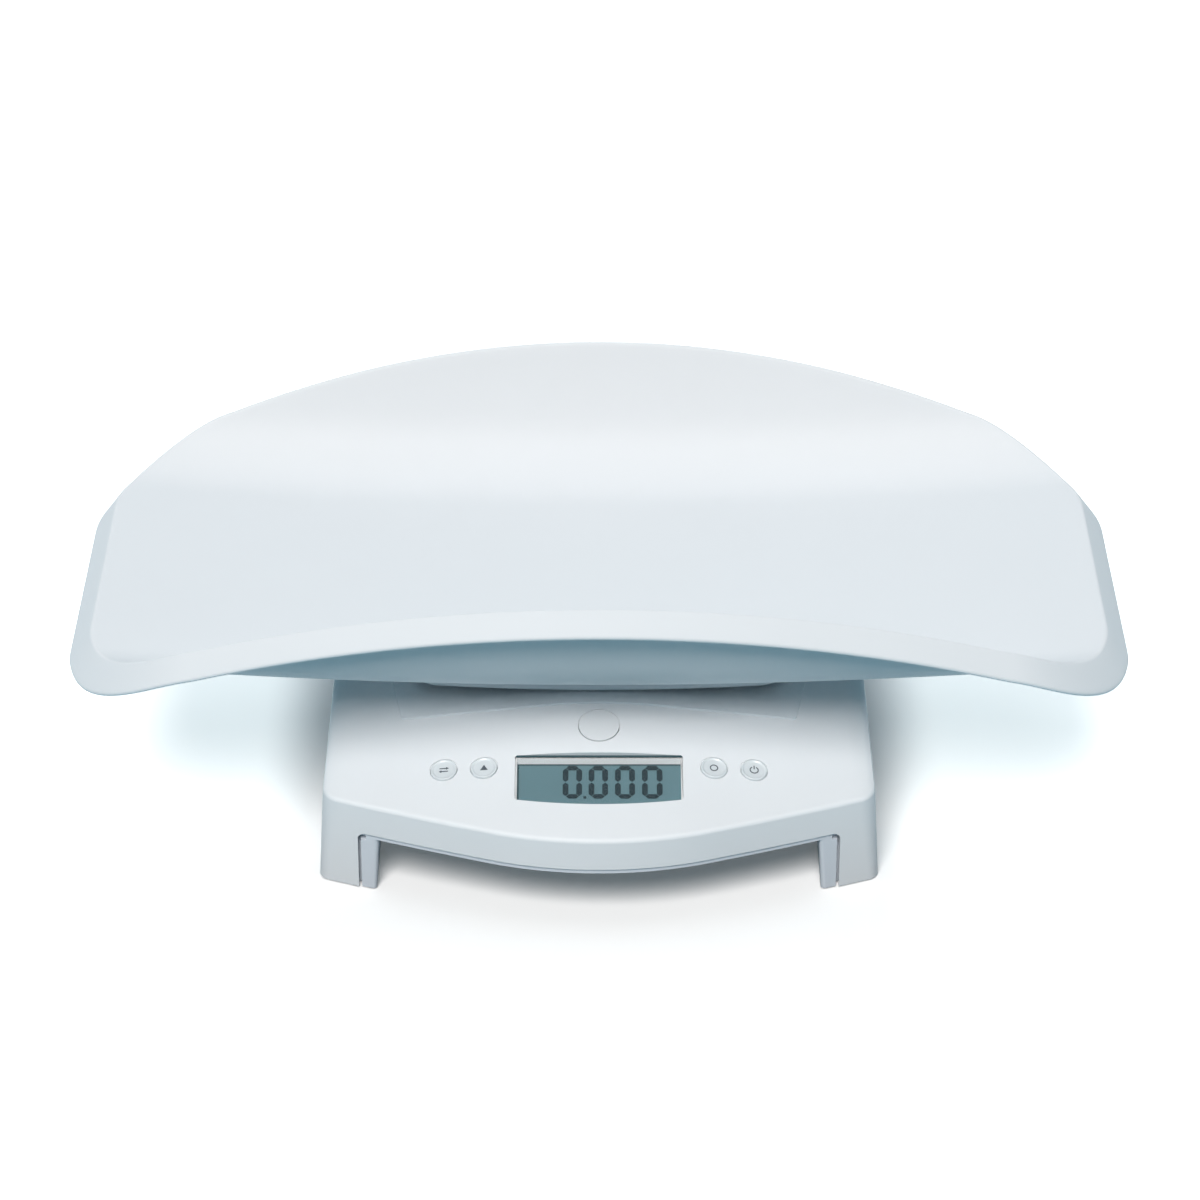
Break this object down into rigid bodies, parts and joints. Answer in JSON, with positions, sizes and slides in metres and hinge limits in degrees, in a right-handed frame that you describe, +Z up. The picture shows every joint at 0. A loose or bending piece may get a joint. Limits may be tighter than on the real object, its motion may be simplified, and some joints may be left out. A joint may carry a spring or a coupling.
{
  "type": "digital baby weighing scale",
  "caption": "Digital baby scale: long lift-off tray with raised sides on a four-legged base with a sloped panel, clear display window, round keys and a tray release button.",
  "frame": {"origin": "on the floor, under the middle of the whole scale's box", "axes": "+Z up, the display and keys face -Y, +X to the right as seen from the front"},
  "size_m": [0.5584, 0.3352, 0.1801],
  "materials": {
    "tray_plastic": "satin",
    "carrier_plastic": "matte",
    "housing_plastic": "satin",
    "plate_plastic": "matte",
    "lower_plastic": "matte",
    "window_clear": "polished",
    "frame_plastic": "matte",
    "lcd_glass": "satin",
    "zebra_rubber": "matte",
    "board_laminate": "satin",
    "component_plastic": "matte",
    "mat_silicone": "matte",
    "key_plastic": "satin",
    "button_plastic": "satin",
    "screw_steel": "satin",
    "spring_steel": "satin",
    "cell_steel": "satin",
    "contact_metal": "polished",
    "battery_can": "satin",
    "foot_rubber": "matte",
    "pad_rubber": "matte",
    "wire_jacket": "matte"
  },
  "bodies": {
    "base": {"platform_plate": "plate_plastic", "upper_housing": "housing_plastic", "lower_housing": "lower_plastic", "housing_screws": "screw_steel", "display_window": "window_clear", "display_frame": "frame_plastic", "lcd_glass": "lcd_glass", "zebra_strips": "zebra_rubber", "main_board": "board_laminate", "board_components": "component_plastic", "board_screws": "screw_steel", "keypad_mat": "mat_silicone", "latch_spring": "spring_steel", "latch_screw": "screw_steel", "battery_cells": "battery_can", "battery_contacts": "contact_metal", "load_cell_screws": "screw_steel", "load_cell_wires": "wire_jacket", "foot_front_left": "foot_rubber", "load_cell_front_left": "cell_steel", "foot_front_right": "foot_rubber", "load_cell_front_right": "cell_steel", "foot_rear_left": "foot_rubber", "load_cell_rear_left": "cell_steel", "foot_rear_right": "foot_rubber", "load_cell_rear_right": "cell_steel"},
    "tray": {"tray_shell": "tray_plastic", "tray_carrier": "carrier_plastic", "tray_screws": "screw_steel", "tray_pads": "pad_rubber"},
    "release_button": {"release_button": "button_plastic"},
    "key_swap": {"key_swap": "key_plastic"},
    "key_hold": {"key_hold": "key_plastic"},
    "key_zero": {"key_zero": "key_plastic"},
    "key_power": {"key_power": "key_plastic"},
    "battery_door": {"battery_door": "lower_plastic"}
  },
  "joints": [
    {"name": "tray_lift", "type": "slide", "parent": "base", "child": "tray", "axis": [0, 0, 1], "range_m": [0, 0.08], "deforming": ["latch_spring"]},
    {"name": "release_press", "type": "slide", "parent": "base", "child": "release_button", "axis": [0, 0.3227, -0.9465], "range_m": [0, 0.002], "stiffness_N_per_m": 1500, "springref_m": -0.0004, "deforming": ["latch_spring"]},
    {"name": "swap_press", "type": "slide", "parent": "base", "child": "key_swap", "axis": [0, 0.3227, -0.9465], "range_m": [0, 0.001], "stiffness_N_per_m": 1400, "springref_m": -0.0003, "deforming": ["keypad_mat"]},
    {"name": "hold_press", "type": "slide", "parent": "base", "child": "key_hold", "axis": [0, 0.3227, -0.9465], "range_m": [0, 0.001], "stiffness_N_per_m": 1400, "springref_m": -0.0003, "deforming": ["keypad_mat"]},
    {"name": "zero_press", "type": "slide", "parent": "base", "child": "key_zero", "axis": [0, 0.3227, -0.9465], "range_m": [0, 0.001], "stiffness_N_per_m": 1400, "springref_m": -0.0003, "deforming": ["keypad_mat"]},
    {"name": "power_press", "type": "slide", "parent": "base", "child": "key_power", "axis": [0, 0.3227, -0.9465], "range_m": [0, 0.001], "stiffness_N_per_m": 1400, "springref_m": -0.0003, "deforming": ["keypad_mat"]},
    {"name": "battery_door_hinge", "type": "hinge", "parent": "base", "child": "battery_door", "pos_m": [0, 0.01015, 0.0325], "axis": [-1, 0, 0], "range_deg": [0, 80]}
  ]
}
